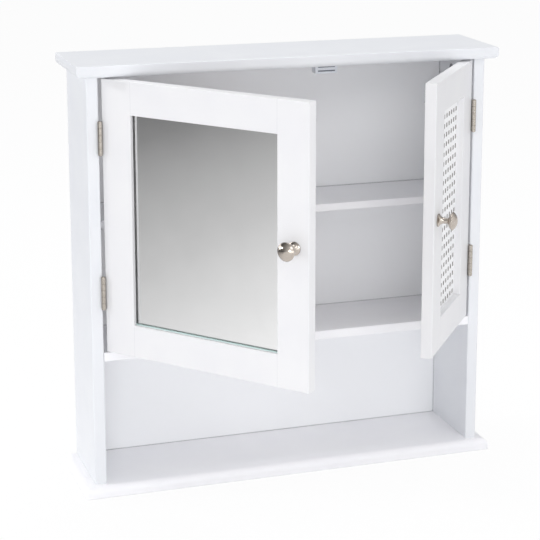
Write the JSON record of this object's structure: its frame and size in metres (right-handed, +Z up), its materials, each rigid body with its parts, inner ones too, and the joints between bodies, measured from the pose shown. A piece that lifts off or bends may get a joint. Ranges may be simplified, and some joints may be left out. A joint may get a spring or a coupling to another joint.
{
  "type": "wall-hung mirror cabinet",
  "caption": "White wall cabinet with a wide mirror door, a narrow perforated door, shelves behind them and an open niche below.",
  "frame": {"origin": "on the wall plane, midway between the round entries of the two keyhole hanger plates", "axes": "+X to the cabinet's right as seen from the front, +Y towards the wall, +Z up"},
  "size_m": [0.56, 0.3566, 0.558],
  "materials": {
    "painted_wood": "satin white paint",
    "painted_backboard": "satin white paint",
    "painted_lattice": "satin white paint",
    "brown_hardboard": "raw hardboard",
    "beech_dowel": "raw beech",
    "mirror": "silvered glass",
    "brushed_nickel": "brushed nickel plate",
    "hinge_steel": "nickel plate",
    "plain_steel": "zinc plate",
    "zinc_casting": "as cast",
    "white_plastic": "moulded",
    "ferrite": "sintered"
  },
  "bodies": {
    "cabinet": {"top_board": "painted_wood", "left_side_panel": "painted_wood", "right_side_panel": "painted_wood", "bottom_board": "painted_wood", "fixed_shelf": "painted_wood", "adjustable_shelf": "painted_wood", "back_panel": "painted_backboard", "shelf_pins": "plain_steel", "carcass_dowels": "beech_dowel", "cam_bolts": "plain_steel", "cam_discs": "zinc_casting", "bottom_board_screws": "plain_steel", "back_panel_nails": "plain_steel", "wall_hanger_plates": "plain_steel", "wall_hanger_screws": "plain_steel", "catch_housing": "white_plastic", "catch_pole_plates": "plain_steel", "catch_magnet": "ferrite", "catch_screws": "plain_steel", "left_hinge_side_leaves": "hinge_steel", "right_hinge_side_leaves": "hinge_steel", "left_hinge_pins": "hinge_steel", "right_hinge_pins": "hinge_steel", "hinge_side_screws": "hinge_steel"},
    "left_door": {"left_door_hinge_stile": "painted_wood", "left_door_meeting_stile": "painted_wood", "left_door_top_rail": "painted_wood", "left_door_bottom_rail": "painted_wood", "left_door_dowels": "beech_dowel", "left_knob": "brushed_nickel", "left_knob_screw": "plain_steel", "left_hinge_door_leaves": "hinge_steel", "left_hinge_door_screws": "hinge_steel", "left_strike_plate": "plain_steel", "left_strike_screw": "plain_steel", "mirror_glass": "mirror", "mirror_backing": "brown_hardboard", "mirror_brads": "plain_steel"},
    "right_door": {"right_door_hinge_stile": "painted_wood", "right_door_meeting_stile": "painted_wood", "right_door_top_rail": "painted_wood", "right_door_bottom_rail": "painted_wood", "right_door_dowels": "beech_dowel", "right_knob": "brushed_nickel", "right_knob_screw": "plain_steel", "right_hinge_door_leaves": "hinge_steel", "right_hinge_door_screws": "hinge_steel", "right_strike_plate": "plain_steel", "right_strike_screw": "plain_steel", "perforated_panel": "painted_lattice", "panel_brads": "plain_steel"}
  },
  "joints": [
    {"name": "left_door_hinge", "type": "hinge", "parent": "cabinet", "child": "left_door", "pos_m": [-0.2505, -0.1198, 0], "axis": [0, 0, -1], "range_deg": [-51, 119]},
    {"name": "right_door_hinge", "type": "hinge", "parent": "cabinet", "child": "right_door", "pos_m": [0.2505, -0.1198, 0], "axis": [0, 0, 1], "range_deg": [-53.4, 116.6]}
  ]
}
